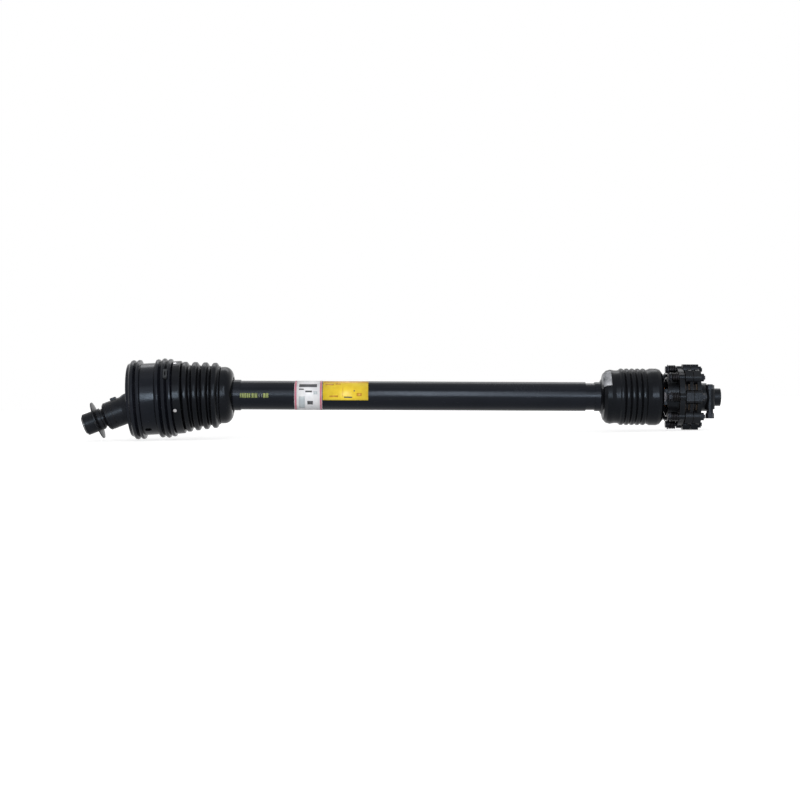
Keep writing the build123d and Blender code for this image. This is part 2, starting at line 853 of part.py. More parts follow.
def shell_of(points, wall, bore_points=()):
    """A turned shell under an outline, its wall measured along the radius."""
    under = [(x, radius - wall) for x, radius in reversed(points)]
    return turned(list(points) + under + list(bore_points))


def drum_outline():
    """Outline points of the drum from its open front to its tail, with its ribs."""
    front_ribs = [
        (drum_front_rib_a, drum_front_rib_radius),
        (drum_front_rib_b, drum_front_rib_radius),
    ]
    back_ribs = [
        (drum_back_rib_a, drum_back_rib_radius_a),
        (drum_back_rib_b, drum_back_rib_radius_b),
        (drum_back_rib_c, drum_back_rib_radius_c),
    ]
    points = []
    for angle in (0, 45, 90):
        forward = drum_lip_round * (1 - cos(radians(angle)))
        drop = drum_lip_round * (1 - sin(radians(angle)))
        points.append((forward - drum_front, drum_rim_radius - drop))
    points += corrugations(front_ribs, 2 * drum_rib_width, drum_valley_radius)[:-1]
    points += [
        (drum_front_rib_b + drum_rib_width * 0.75, drum_band_radius),
        (drum_back_rib_a - drum_rib_width, drum_band_radius),
    ]
    points += corrugations(back_ribs, 2 * drum_rib_width, drum_valley_radius)[1:-1]
    points += [
        (drum_back_rib_c + drum_rib_width, drum_tail_radius),
        (drum_tail_end, drum_tail_radius),
    ]
    return points


def drum_block(lift):
    """The drum as if it were filled, with its skin lifted by a clearance."""
    skin = [(x, radius + lift) for x, radius in drum_outline()]
    return turned(skin + [(drum_tail_end, 0), (-drum_front, 0)])


def guard_drum():
    """The drum over the wide-angle joint, with its ribs and the web of its bearing ring."""
    drum = shell_of(drum_outline(), drum_wall)
    half = drum_web_thickness / 2
    web = ring(-half, half, drum_ring_radius + seat_clearance, drum_back_rib_radius_b)
    web &= drum_block(0)
    hole = Circle(access_hole_radius) + Rectangle(access_hole_stretch, 2 * access_hole_radius)
    for side in (-1, 1):
        hole += Pos(side * access_hole_stretch / 2, 0) * Circle(access_hole_radius)
    bore = Pos(access_hole_place, 0, drum_ring_radius) * extrude(hole, 2 * cut_reach)
    drum = drum + web - Rot(90 + access_hole_angle, 0, 0) * bore
    for screw_hole in drum_screw_places():
        drum -= screw_hole * Cylinder(screw_shank_radius + seat_clearance, cut_reach)
    return drum


def drum_screw_places():
    """Places of the screws in the drum's tail, each pointing outwards along Z."""
    lift = Pos(drum_tail_end - screw_setback, 0, drum_tail_radius)
    return [Rot(screw_angle + 360 * n / screw_count, 0, 0) * lift for n in range(screw_count)]


def drum_parts():
    """Writes the drum, its bearing ring, lock tabs and screws."""
    write("guard_drum", guard_drum(), drum_place)
    half = drum_ring_width / 2
    bearing = ring(-half, half, bearing_ring_radius, drum_ring_radius)
    write("drum_bearing_ring", bearing, drum_place)
    tab = Box(lock_tab_length, lock_tab_width, lock_tab_height + lock_tab_sink)
    tab = fillet(tab.edges().filter_by(Axis.Z), lock_tab_corner)
    tab -= Box(lock_tab_length / 3, lock_tab_width / 2, 2 * lock_tab_height)
    valley = (drum_back_rib_b + drum_back_rib_c) / 2
    height = drum_valley_radius + (lock_tab_height - lock_tab_sink) / 2
    tab = Pos(valley, 0, height) * tab - drum_block(seat_clearance)
    tabs = [Rot(lock_tab_angle + turn, 0, 0) * tab for turn in (0, 180)]
    write("drum_lock_tabs", tabs, drum_place)
    cuff = bellows_wall + soft_clearance + slide_clearance
    head = Cylinder(screw_head_radius, screw_head_height)
    shank = Cylinder(screw_shank_radius, cuff + drum_wall)
    screw = Pos(0, 0, cuff + screw_head_height / 2 + seat_clearance) * head
    screw += Pos(0, 0, (cuff - drum_wall) / 2 + seat_clearance) * shank
    write("drum_screws", [place * screw for place in drum_screw_places()], drum_place)


def bellows_span():
    """Where the large bellows starts on the drum's tail, and its length to the guard tube."""
    front = (drum_place * Pos(drum_tail_end - bellows_overlap, 0, 0)).position
    return front, guard_start - slide_clearance - front.X


def bellows_ring(length, radius):
    """One circle of the large bellows, at a length from its front end."""
    front, span = bellows_span()
    left = 1 - length / span
    tilt = drum_droop if length <= bellows_cuff_length else bellows_lean * left**2
    height = front.Z * left**bellows_bend_power
    place = Location((front.X + length, 0, height), (0, -tilt, 0)) * Rot(0, 90, 0)
    return (place * Circle(radius)).edges()[0]


def bellows_outline(inset):
    """Circles of the bellows as (length, radius) from front to back, an inset under its skin."""
    span = bellows_span()[1]
    front_radius = drum_tail_radius + soft_clearance + bellows_wall - inset
    rings = [(0, front_radius), (bellows_cuff_length, front_radius)]
    tail = span - bellows_tail_length
    step = (tail - bellows_cuff_length) / bellows_ridge_count
    fall = (bellows_first_ridge_radius - bellows_last_ridge_radius) / (bellows_ridge_count - 1)
    shape = [(1 / 8, bellows_fold_depth), (3 / 8, bellows_ridge_drop)]
    shape += [(5 / 8, bellows_ridge_drop), (7 / 8, bellows_fold_depth)]
    for fold in range(bellows_ridge_count):
        ridge = bellows_first_ridge_radius - fall * fold - inset
        for share, drop in shape:
            rings.append((bellows_cuff_length + step * (fold + share), ridge - drop))
    rings.append((tail, bellows_shoulder_radius - bellows_shoulder_drop - inset))
    shoulder = tail + bellows_shoulder_length
    rings.append((shoulder - bellows_shoulder_length / 2, bellows_shoulder_radius - inset))
    for angle in (90, 60, 35):
        along = (span - shoulder - inset) * cos(radians(angle))
        rise = (bellows_shoulder_radius - bellows_end_radius - inset) * sin(radians(angle))
        rings.append((shoulder + along, bellows_end_radius + rise))
    rings.append((span, bellows_end_radius - inset))
    return rings


def large_bellows():
    """The bellows from the drum to the guard tube, as two nested lofts."""
    walls = []
    for inset in (0, bellows_wall):
        edges = [bellows_ring(length, radius) for length, radius in bellows_outline(inset)]
        walls.append(Solid.make_loft([Wire([edge]) for edge in edges], ruled=True))
    shell = walls[0] - walls[1]
    for place in drum_screw_places():
        shell -= drum_place * place * Cylinder(screw_shank_radius + soft_clearance, cut_reach)
    return shell


def cone_rear_points(inset):
    """Outline points of the cone's round rear shoulder, an inset under its skin."""
    centre = inner_guard_end + cone_rear_setback + cone_rear_round
    points = []
    for angle in (0, 30, 60, 90):
        back = (cone_rear_round - inset) * cos(radians(angle))
        rise = (cone_rear_rise - inset) * sin(radians(angle))
        points.append((centre - back, cone_shoulder_radius - cone_rear_rise + rise))
    return points


def cone_outline(inset):
    """Outline points of the cone from its rear shoulder to its mouth, an inset under its skin."""
    valley = inner_guard_end + cone_first_valley
    low = cone_first_valley_radius - inset
    points = cone_rear_points(inset)
    points += [(valley - cone_valley_width / 2, low), (valley + cone_valley_width / 2, low)]
    first = inner_guard_end + cone_first_ridge
    ridge = cone_ridge_radius - inset
    ribs = [(first + cone_ridge_pitch * n, ridge) for n in range(cone_ridge_count)]
    points += corrugations(ribs, cone_ridge_pitch, cone_valley_radius - inset)
    points.append((points[-1][0] + cone_rib_rise, ridge))
    centre = inner_guard_end + cone_length - cone_mouth_round
    for angle in (90, 60, 30, 0):
        along = (cone_mouth_round - inset) * cos(radians(angle))
        rise = (ridge - cone_mouth_radius) * sin(radians(angle))
        points.append((centre + along, cone_mouth_radius + rise))
    return points


def small_bellows():
    """The bellows cone over the clutch-side joint."""
    start = inner_guard_end + seat_clearance
    outline = [(start, cone_rear_radius)] + cone_outline(0)
    shell = turned(outline + cone_outline(cone_wall)[::-1])
    block = turned(outline + [(inner_guard_end + cone_length, 0), (start, 0)])
    bearing = clutch_side_hub_end + bearing_place
    web = ring(
        bearing + slide_clearance,
        bearing + bearing_width - slide_clearance,
        tube_hub_radius + bearing_shell + seat_clearance,
        cone_shoulder_radius,
    )
    near = start + cone_rear_setback + 2 * cone_wall
    base = ring(start, near, inner_guard_radius - guard_wall, cone_rear_radius + cone_base_step)
    return shell + (web & block) + (base & block)


def cone_clip():
    """The curved clip on the rear shoulder of the cone, where a guard chain hooks in."""
    low = [(x - slide_clearance, r + slide_clearance) for x, r in cone_rear_points(0)]
    high = [(x - cone_clip_thickness, r + cone_clip_thickness) for x, r in reversed(low)]
    strip = make_face(Polyline(*(low + high), close=True))
    return Rot(cone_clip_angle, 0, 0) * revolve(strip, Axis.X, cone_clip_sweep)


def clutch_yoke():
    """The flange yoke: ears on the near and far side, a lobed flange and a skirt behind it."""
    hub = bar(-yoke_reach - root_overlap, -fork_depth + fork_base_tip, ear_outer_face)
    blank = Rot(90, 0, 180) * fork(hub)
    blank &= Box(2 * (yoke_reach + seat_clearance), 4 * ear_outer_face, 4 * ear_outer_face)
    flange = lobed_plate(
        yoke_flange_inner - clutch_joint_x,
        yoke_flange_face - clutch_joint_x,
        yoke_lobe_radius,
        hub_spigot_radius + bush_wall + seat_clearance,
        yoke_flange_inner - clutch_joint_x,
    )
    bore = bar(0, 2 * yoke_reach, hub_spigot_radius + bush_wall + seat_clearance)
    keep = bar(-2 * ear_radius, fork_depth - yoke_keep_gap, yoke_keep_radius)
    skirt = turned(
        [
            (yoke_reach - skirt_length, skirt_inner_radius),
            (yoke_reach - skirt_length, skirt_tip_radius),
            (yoke_reach, skirt_base_radius),
            (yoke_reach, skirt_inner_radius),
        ]
    )
    return blank + flange + skirt - (bore - keep)


def drive_teeth(clearance):
    """The teeth of the clutch hub that turn the drive plate, grown by a clearance."""
    tooth = Pos((drive_plate_inner + drive_plate_face) / 2, 0, hub_shoulder_radius) * Box(
        drive_plate_thickness + drive_tooth_overhang,
        drive_tooth_width + 2 * clearance,
        2 * (drive_tooth_height + clearance),
    )
    return around_x(tooth, spline_count)


def clutch_hub():
    """The splined hub with its friction flange, drive teeth and clamp boss."""
    flange = bar(hub_flange_inner, hub_flange_face, hub_flange_radius)
    sleeve = bar(hub_flange_face, -hub_end_length, hub_shoulder_radius)
    end = bar(-hub_end_length, 0, hub_end_radius)
    spigot = bar(yoke_flange_inner + spigot_inset, hub_flange_inner, hub_spigot_radius)
    solid = flange + sleeve + end + spigot
    for tooth in drive_teeth(0):
        solid += tooth
    drop = clamp_bolt_bottom - clamp_stem_length
    height = clamp_bolt_top + drop
    boss = Pos(0, 0, (clamp_bolt_top - drop) / 2) * Cylinder(clamp_boss_radius, height)
    web = Pos(0, clamp_bolt_offset / 2, (clamp_bolt_top - drop) / 2) * Box(
        2 * clamp_boss_radius, clamp_bolt_offset, height
    )
    place = Pos(-clamp_bolt_place, -clamp_bolt_offset, 0)
    solid += place * (boss + web)
    solid -= spline_bore(-hub_bore_depth, cut_extra)
    solid -= place * Cylinder(clamp_bolt_radius + slide_clearance, 4 * clamp_bolt_bottom)
    spot_face = clamp_head_size / sqrt(3) + clamp_spot_step
    solid -= place * Pos(0, 0, 2 * clamp_bolt_top) * Cylinder(spot_face, 2 * clamp_bolt_top)
    return solid


def clamp_parts():
    """Writes the clamp bolt of the hub and its nut."""
    place = Pos(-clamp_bolt_place, -clamp_bolt_offset, 0)
    drop = clamp_bolt_bottom - clamp_stem_length
    top = clamp_bolt_top + clamp_nut_height + clamp_thread_tip
    shank = Pos(0, 0, (top - clamp_bolt_bottom) / 2) * Cylinder(
        clamp_bolt_radius, top + clamp_bolt_bottom
    )
    head = Pos(0, 0, -clamp_bolt_bottom - clamp_head_height) * hexagon(
        clamp_head_size, clamp_head_height
    )
    flange = Pos(0, 0, clamp_flange_height / 2 - clamp_bolt_bottom) * Cylinder(
        clamp_head_size / 2 + clamp_flange_step, clamp_flange_height
    )
    collar = Pos(0, 0, -(drop + clamp_bolt_bottom) / 2) * Cylinder(
        clamp_bolt_radius + clamp_stem_step, clamp_bolt_bottom - drop - 2 * seat_clearance
    )
    write("clamp_bolt", place * (shank + head + flange + collar))
    nut = hexagon(clamp_head_size, clamp_nut_height) - Cylinder(
        clamp_bolt_radius + seat_clearance, 3 * clamp_nut_height
    )
    write("clamp_nut", place * Pos(0, 0, clamp_bolt_top + seat_clearance) * nut)


def lining(face):
    """One friction lining, whose right-hand side lies at a given place."""
    return ring(face - lining_thickness, face, lining_inner_radius, lining_outer_radius)


def clutch_fasteners():
    """Writes the eight bolts, their nuts, washers and springs."""
    spring_start = yoke_flange_inner - seat_clearance
    washer_face = spring_start - clutch_spring_length - seat_clearance
    head_face = washer_face - washer_thickness - seat_clearance
    tip = back_plate_face + nut_height + bolt_tip
    place = Pos(0, 0, bolt_circle_radius)
    upright = Rot(bolt_head_turn, 0, 0) * Rot(0, 90, 0)
    bolt = bar(head_face, tip, clutch_bolt_radius)
    bolt += Pos(head_face - bolt_head_height, 0, 0) * upright * hexagon(
        bolt_head_size, bolt_head_height
    )
    write("clutch_bolts", around_x(place * bolt, clutch_bolt_count))
    nut = hexagon(bolt_head_size, nut_height) - Cylinder(
        clutch_bolt_radius + seat_clearance, 3 * nut_height
    )
    nut = Pos(back_plate_face + seat_clearance, 0, 0) * upright * nut
    write("clutch_nuts", around_x(place * nut, clutch_bolt_count))
    washer = ring(
        washer_face - washer_thickness,
        washer_face,
        clutch_bolt_radius + seat_clearance,
        washer_radius,
    )
    write("clutch_washers", around_x(place * washer, clutch_bolt_count))
    coil = helix_spring(
        clutch_spring_length, clutch_spring_radius, clutch_spring_wire_radius, clutch_spring_turns
    )
    coil = Pos(spring_start - clutch_spring_length, 0, 0) * upright * coil
    write("clutch_springs", around_x(place * coil, clutch_bolt_count))


def friction_clutch():
    """Writes the friction clutch and its hub."""
    cross_pieces("clutch", clutch_place)
    joint_pieces("clutch_side_yoke", clutch_place, 0)
    joint_pieces("clutch_yoke", clutch_place, 90)
    write("clutch_yoke", clutch_yoke(), clutch_place)
    bush = ring(
        yoke_flange_inner + bush_inset,
        yoke_flange_face,
        hub_spigot_radius + hinge_clearance,
        hub_spigot_radius + bush_wall,
    )
    write("clutch_bush", bush)
    write("clutch_hub", clutch_hub())
    write("friction_lining_1", lining(yoke_flange_face + lining_thickness))
    write("friction_lining_2", lining(separator_inner))
    write("friction_lining_3", lining(drive_plate_inner))
    write("friction_lining_4", lining(back_plate_inner))
    separator = lobed_plate(
        separator_inner,
        separator_face,
        clutch_lobe_radius,
        separator_bore,
        yoke_flange_face + lobe_gap,
    )
    write("separator_plate", separator)
    plate = ring(
        drive_plate_inner,
        drive_plate_face,
        hub_shoulder_radius + slide_clearance,
        drive_plate_radius,
    )
    for tooth in drive_teeth(slide_clearance):
        plate -= tooth
    write("drive_plate", plate)
    back = lobed_plate(
        back_plate_inner,
        back_plate_face,
        clutch_lobe_radius,
        back_plate_bore,
        separator_face + lobe_gap,
    )
    write("back_plate", back)
    clutch_fasteners()
    clamp_parts()


os.makedirs("parts", exist_ok=True)
wide_angle_joint()
drive_tubes()
guard_tubes()
drum_parts()
write("large_bellows", large_bellows())
write("small_bellows", small_bellows())
write("chain_clip", cone_clip())
friction_clutch()
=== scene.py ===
import json
import math

import bpy
from mathutils import Matrix, Vector


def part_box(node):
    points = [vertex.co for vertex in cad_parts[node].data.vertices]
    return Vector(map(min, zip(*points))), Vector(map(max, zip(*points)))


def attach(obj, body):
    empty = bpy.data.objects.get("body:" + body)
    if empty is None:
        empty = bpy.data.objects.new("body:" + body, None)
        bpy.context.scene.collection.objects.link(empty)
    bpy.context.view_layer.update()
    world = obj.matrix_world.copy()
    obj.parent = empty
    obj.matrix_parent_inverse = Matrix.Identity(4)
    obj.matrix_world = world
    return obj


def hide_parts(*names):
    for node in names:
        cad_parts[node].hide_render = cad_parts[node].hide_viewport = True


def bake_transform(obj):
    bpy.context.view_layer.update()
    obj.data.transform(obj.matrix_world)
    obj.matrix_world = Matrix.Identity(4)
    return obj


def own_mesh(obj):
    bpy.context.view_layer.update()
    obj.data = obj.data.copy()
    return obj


# Looks of a tractor drive shaft. Metres. X runs towards the implement, Z is up, the camera looks along +Y

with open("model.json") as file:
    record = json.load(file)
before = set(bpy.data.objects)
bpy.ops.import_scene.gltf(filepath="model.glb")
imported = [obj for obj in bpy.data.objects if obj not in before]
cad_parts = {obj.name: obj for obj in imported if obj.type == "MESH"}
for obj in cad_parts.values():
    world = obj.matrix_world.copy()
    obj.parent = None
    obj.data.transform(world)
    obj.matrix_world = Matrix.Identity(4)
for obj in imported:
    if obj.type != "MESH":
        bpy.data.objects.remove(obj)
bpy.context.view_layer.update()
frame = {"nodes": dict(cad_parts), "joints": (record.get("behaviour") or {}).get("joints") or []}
nodes = frame["nodes"]
joints = {joint["name"]: joint for joint in frame["joints"]}

# The photo's framing
image_size = 800
metres_per_pixel = 0.0025
implement_end_pixel = 719.7
shaft_axis_pixel = 395.8
camera_distance = 4.6
camera_roll = math.radians(0.25)

# The guard tube, which carries the stickers
tube_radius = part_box("outer_guard_tube")[1].y


def photo_x(pixel):
    """A place along the shaft from its column in the photo."""
    return (pixel - implement_end_pixel) * metres_per_pixel


def photo_z(pixel):
    """A height over the shaft's axis from its row in the photo."""
    return (shaft_axis_pixel - pixel) * metres_per_pixel


def photo_angle(pixel):
    """The angle round the tube, up from the near side, of a row in the photo."""
    return math.degrees(math.asin(max(-1, min(1, photo_z(pixel) / tube_radius))))


# Node helpers

def join(tree, value, socket):
    """Links an output to an input."""
    tree.links.new(value, socket)


def add(tree, kind, **inputs):
    """Adds a shader node, and sets its inputs by name."""
    node = tree.nodes.new(kind)
    for name, value in inputs.items():
        node.inputs[name.replace("_", " ")].default_value = value
    return node


def combine(tree, operation, first, second):
    """One value made from two, such as their sum or product."""
    node = tree.nodes.new("ShaderNodeMath")
    node.operation = operation
    join(tree, first, node.inputs[0])
    join(tree, second, node.inputs[1])
    return node.outputs[0]


def coordinates(tree, scale=(1, 1, 1)):
    """Places on the piece, in metres, stretched by a scale."""
    source = tree.nodes.new("ShaderNodeTexCoord")
    mapping = add(tree, "ShaderNodeMapping", Scale=scale)
    join(tree, source.outputs["Object"], mapping.inputs["Vector"])
    return mapping.outputs["Vector"]


def noise(tree, place, scale, detail=4.0, roughness=0.55):
    """A noise value over a place."""
    node = add(tree, "ShaderNodeTexNoise", Scale=scale, Detail=detail, Roughness=roughness)
    join(tree, place, node.inputs["Vector"])
    return node.outputs["Fac"]


def spread(tree, value, low, high, start=0.3, end=0.7):
    """Maps a value from start..end to low..high."""
    limits = {"From_Min": start, "From_Max": end, "To_Min": low, "To_Max": high}
    node = add(tree, "ShaderNodeMapRange", **limits)
    join(tree, value, node.inputs["Value"])
    return node.outputs["Result"]


def between(tree, share, first, second):
    """A colour between two colours, or between colours that come from nodes."""
    node = tree.nodes.new("ShaderNodeMix")
    node.data_type = "RGBA"
    join(tree, share, node.inputs["Factor"])
    first_colour, second_colour, result = node.inputs[6], node.inputs[7], node.outputs[2]
    for socket, colour in ((first_colour, first), (second_colour, second)):
        if isinstance(colour, bpy.types.NodeSocket):
            join(tree, colour, socket)
        else:
            socket.default_value = (*colour, 1)
    return result


def bump(tree, height, strength, distance, under=None):
    """A bumped normal over an earlier one."""
    node = add(tree, "ShaderNodeBump", Strength=strength, Distance=distance)
    join(tree, height, node.inputs["Height"])
    if under is not None:
        join(tree, under, node.inputs["Normal"])
    return node.outputs["Normal"]


def worn(tree, width):
    """How exposed an edge is, from 0 on a flat face to 1 on a sharp edge."""
    rounded = add(tree, "ShaderNodeBevel", Radius=width)
    rounded.samples = 4
    plain = tree.nodes.new("ShaderNodeNewGeometry")
    dot = tree.nodes.new("ShaderNodeVectorMath")
    dot.operation = "DOT_PRODUCT"
    join(tree, rounded.outputs["Normal"], dot.inputs[0])
    join(tree, plain.outputs["Normal"], dot.inputs[1])
    return spread(tree, dot.outputs["Value"], 1.0, 0.0, start=0.75, end=0.99)


def surface(name, metallic=0.0, specular=0.5, sheen=(1, 1, 1)):
    """A new material with a plain shader, as (material, node tree, shader)."""
    material = bpy.data.materials.new(name)
    material.use_nodes = True
    tree = material.node_tree
    shader = tree.nodes["Principled BSDF"]
    shader.inputs["Metallic"].default_value = metallic
    shader.inputs["Specular IOR Level"].default_value = specular
    shader.inputs["Specular Tint"].default_value = (*sheen, 1)
    return material, tree, shader


# Materials

# A bluish tint on the reflections of black plastic and paint: painted reflection colour, which stands in
# for bluish light
painted_glint_tint = (0.72, 0.84, 1)
scuff_colour = (0.09, 0.088, 0.085)
black = (0.003, 0.0033, 0.005)
charcoal = (0.007, 0.0072, 0.010)


def plastic(name, dark, pale, rough, grain, stretch=(1, 1, 1), scuffs=0.0, specular=0.4):
    """Moulded or drawn plastic: cloudy colour, fine grain, dull scuffs, and a painted bluish tint on its
    glints.
    """
    material, tree, shader = surface(name, specular=specular, sheen=painted_glint_tint)
    place = coordinates(tree, stretch)
    cloud = noise(tree, place, scale=14, detail=5)
    colour = between(tree, spread(tree, cloud, 0, 1), dark, pale)
    if scuffs:
        streaks = noise(tree, coordinates(tree, (9, 60, 60)), scale=6, detail=8, roughness=0.7)
        marks = spread(tree, streaks, 0, scuffs, start=0.62, end=0.74)
        colour = between(tree, marks, colour, scuff_colour)
    join(tree, colour, shader.inputs["Base Color"])
    fine = noise(tree, coordinates(tree), scale=260, detail=3)
    dullness = combine(tree, "ADD", spread(tree, cloud, -0.05, 0.05),
                       spread(tree, fine, rough - 0.04, rough + 0.05))
    join(tree, dullness, shader.inputs["Roughness"])
    waves = noise(tree, place, scale=45, detail=2)
    coarse = bump(tree, waves, strength=0.25, distance=0.0006)
    grained = bump(tree, fine, strength=grain, distance=0.0002, under=coarse)
    join(tree, grained, shader.inputs["Normal"])
    return material


def painted(name, paint, wear, rough, pits=0.35, wear_width=0.0012):
    """Satin paint over a forging or casting: a pitted skin, bare or brown edges, and a painted bluish
    tint on its glints.
    """
    material, tree, shader = surface(name, specular=0.15, sheen=painted_glint_tint)
    place = coordinates(tree)
    cloud = noise(tree, place, scale=30, detail=6)
    dusty = tuple(channel * 1.9 + 0.003 for channel in paint)
    colour = between(tree, spread(tree, cloud, 0, 1, start=0.35, end=0.75), paint, dusty)
    chips = noise(tree, place, scale=160, detail=6, roughness=0.7)
    edge = combine(tree, "MULTIPLY", worn(tree, wear_width),
                   spread(tree, chips, 0.0, 1.0, start=0.42, end=0.6))
    join(tree, between(tree, edge, colour, wear), shader.inputs["Base Color"])
    join(tree, spread(tree, chips, rough - 0.09, rough + 0.12), shader.inputs["Roughness"])
    skin = bump(tree, noise(tree, place, scale=110, detail=4), strength=pits, distance=0.0009)
    grit = noise(tree, place, scale=420, detail=3)
    gritty = bump(tree, grit, strength=0.3, distance=0.0003, under=skin)
    join(tree, gritty, shader.inputs["Normal"])
    return material


def metal(name, colour, stain, rough, stretch=(1, 1, 1), grain=0.15):
    """Bare or plated metal with tool marks and cloudy stains."""
    material, tree, shader = surface(name, metallic=1.0)
    marks = noise(tree, coordinates(tree, stretch), scale=120, detail=6, roughness=0.6)
    stains = spread(tree, noise(tree, coordinates(tree), scale=50, detail=5), 0, 1)
    join(tree, between(tree, stains, colour, stain), shader.inputs["Base Color"])
    join(tree, spread(tree, marks, rough - 0.08, rough + 0.15), shader.inputs["Roughness"])
    join(tree, bump(tree, marks, strength=grain, distance=0.0004), shader.inputs["Normal"])
    return material


def pressed(name, dark, pale):
    """A pressed, dull material with short pale fibres."""
    material, tree, shader = surface(name, specular=0.2)
    fibres = noise(tree, coordinates(tree), scale=900, detail=2, roughness=0.8)
    shades = spread(tree, fibres, 0, 1, start=0.45, end=0.65)
    join(tree, between(tree, shades, dark, pale), shader.inputs["Base Color"])
    join(tree, spread(tree, fibres, 0.75, 0.95), shader.inputs["Roughness"])
    join(tree, bump(tree, fibres, strength=0.4, distance=0.0003), shader.inputs["Normal"])
    return material


def printed(name, colour, shade, rough=0.32):
    """A printed sticker: one field of colour, slightly faded and creased."""
    material, tree, shader = surface(name, specular=0.4)
    place = coordinates(tree)
    fade = spread(tree, noise(tree, place, scale=55, detail=5), 0, 1, start=0.35, end=0.75)
    join(tree, between(tree, fade, colour, shade), shader.inputs["Base Color"])
    fine = noise(tree, place, scale=200, detail=3)
    join(tree, spread(tree, fine, rough - 0.05, rough + 0.1), shader.inputs["Roughness"])
    creases = noise(tree, place, scale=70, detail=3)
    join(tree, bump(tree, creases, strength=0.3, distance=0.0003), shader.inputs["Normal"])
    return material


drawn_plastic = plastic("drawn_plastic", black, charcoal, rough=0.22, grain=0.04,
                        stretch=(0.35, 1, 1), scuffs=0.2, specular=0.16)
drum_plastic = plastic("drum_plastic", black, charcoal, rough=0.21, grain=0.05, scuffs=0.15,
                       specular=0.15)
soft_plastic = plastic("soft_plastic", (0.0025, 0.0025, 0.003), (0.005, 0.005, 0.006),
                       rough=0.22, grain=0.06, specular=0.12)
nylon = plastic("nylon", (0.01, 0.01, 0.011), (0.03, 0.03, 0.03), rough=0.4, grain=0.1,
                specular=0.3)
clip_grey = plastic("clip_grey", (0.02, 0.02, 0.022), (0.48, 0.48, 0.5), rough=0.28, grain=0.1,
                    stretch=(3, 3, 3), specular=0.5)
forged_paint = painted("forged_paint", (0.004, 0.004, 0.005), (0.10, 0.09, 0.085), rough=0.27,
                       pits=0.25)
cast_paint = painted("cast_paint", (0.002, 0.002, 0.0025), (0.05, 0.042, 0.037), rough=0.3,
                     pits=0.3)
fastener = painted("fastener", (0.006, 0.006, 0.008), (0.12, 0.115, 0.115), rough=0.3,
                   pits=0.12, wear_width=0.0008)
steel = metal("steel", (0.36, 0.36, 0.38), (0.16, 0.15, 0.14), rough=0.32, stretch=(0.2, 1, 1))
spring_steel = metal("spring_steel", (0.020, 0.020, 0.024), (0.010, 0.009, 0.008), rough=0.35)
dark_steel = metal("dark_steel", (0.07, 0.07, 0.08), (0.03, 0.027, 0.025), rough=0.32)
plated = metal("plated", (0.62, 0.62, 0.65), (0.34, 0.33, 0.33), rough=0.25, grain=0.08)
bronze = metal("bronze", (0.50, 0.26, 0.10), (0.22, 0.10, 0.04), rough=0.35)
lining = pressed("lining", (0.020, 0.014, 0.010), (0.07, 0.055, 0.042))
seal_copper = pressed("seal_copper", (0.70, 0.22, 0.06), (0.82, 0.34, 0.12))

# The material of each CAD node. The nodes that aren't listed are steel
finishes = [
    (drawn_plastic, ["outer_guard_tube", "inner_guard_tube", "outer_guard_collar",
                     "inner_guard_ring"]),
    (drum_plastic, ["guard_drum"]),
    (soft_plastic, ["large_bellows", "small_bellows"]),
    (nylon, ["drum_lock_tabs", "drum_bearing_ring", "outer_guard_bearing",
             "inner_guard_bearing"]),
    (clip_grey, ["chain_clip"]),
    (forged_paint, ["tractor_yoke", "release_collar", "tube_yoke", "cv_body",
                    "clutch_side_yoke"]),
    (cast_paint, ["clutch_yoke", "separator_plate", "back_plate", "clutch_hub", "drive_plate"]),
    (fastener, ["clutch_bolts", "clutch_nuts", "clutch_washers", "clamp_bolt", "clamp_nut"]),
    (spring_steel, ["clutch_springs", "collar_spring"]),
    (dark_steel, ["clutch_yoke_bearing_cups", "clutch_yoke_circlips"]),
    (plated, ["drum_screws", "inner_grease_nipple", "outer_grease_nipple",
              "clutch_grease_nipple"]),
    (bronze, ["clutch_bush", "ball_seat"]),
    (lining, [f"friction_lining_{number}" for number in range(1, 5)]),
]
finish_of = {name: material for material, names in finishes for name in names}
for name, node in nodes.items():
    node.data.materials.clear()
    node.data.materials.append(finish_of.get(name, steel))


# Mesh helpers

def link(piece):
    """Puts an object into the scene."""
    bpy.context.scene.collection.objects.link(piece)
    return piece


def new_piece(name, mesh_data, material, body=None):
    """A new smooth object from (vertices, edges, faces), which may ride on a body."""
    mesh = bpy.data.meshes.new(name)
    mesh.from_pydata(*mesh_data)
    mesh.materials.append(material)
    for face in mesh.polygons:
        face.use_smooth = True
    mesh.validate()
    mesh.update()
    piece = link(bpy.data.objects.new(name, mesh))
    if body is not None:
        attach(piece, body)
    return piece


def net(rows, closed):
    """The mesh data of a net of points, each row closed into a loop or left open."""
    vertices = [point for row in rows for point in row]
    count = len(rows[0])
    faces = []
    for i in range(len(rows) - 1):
        for j in range(count if closed else count - 1):
            k = (j + 1) % count
            faces.append((i * count + j, i * count + k, (i + 1) * count + k, (i + 1) * count + j))
    return vertices, [], faces


def thicken(piece, depth, offset):
    """Gives a sheet its thickness, to one side of it or to both."""
    solid = piece.modifiers.new("thickness", "SOLIDIFY")
    solid.thickness = depth
    solid.offset = offset


def turns(count):
    """Equal steps round a circle, as angles."""
    return [2 * math.pi * step / count for step in range(count)]


# Large bellows, from the drum to the guard tube, in two halves that meet after the second fold

bellows_wall = 0.0022
bellows_overlap = 0.009
bellows_cuff = 0.0165
bellows_cuff_radius = 0.0886
bellows_folds = 4
bellows_first_ridge = 0.0865
bellows_last_ridge = 0.0806
bellows_fold_depth = 0.010
bellows_ridge_drop = 0.001
bellows_crest_share = 0.2
bellows_flank_share = 0.6
bellows_cuff_step = 0.1
bellows_tail = 0.0315
bellows_shoulder = 0.012
bellows_shoulder_radius = 0.0685
bellows_shoulder_drop = 0.0025
bellows_end_radius = 0.045
bellows_lean = math.radians(7)
bellows_lean_start = 0.014
bellows_bend_power = 1.6
bellows_points = 96
front_steps = 110
rear_steps = 150
drum_tail_end = 0.036

